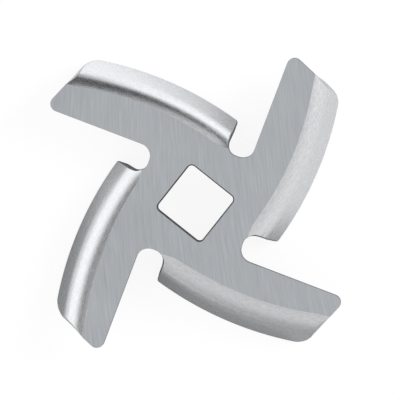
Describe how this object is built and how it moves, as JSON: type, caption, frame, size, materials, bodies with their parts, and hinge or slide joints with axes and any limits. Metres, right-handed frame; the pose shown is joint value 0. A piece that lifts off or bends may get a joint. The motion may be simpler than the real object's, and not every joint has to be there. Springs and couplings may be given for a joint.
{
  "type": "meat grinder knife",
  "caption": "Flat pinwheel knife with a square drive hole, straight leading edges and down-bent trailing flanges; turns against a grinder's hole plate to cut meat.",
  "frame": {"origin": "on the axis of the square drive hole, at the height of the flanges' lower edges, on which the knife rests", "axes": "+Z along the drive axis, out of the ground cutting face; X and Y along the flats of the square hole; the knife turns anticlockwise about +Z"},
  "size_m": [0.0504, 0.0504, 0.0063],
  "materials": {
    "stainless_steel": "ground flat on the cutting face, with a fine straight grain; tumbled satin on the bent flanges, walls and back"
  },
  "bodies": {
    "root": {"knife": "stainless_steel"}
  },
  "joints": []
}
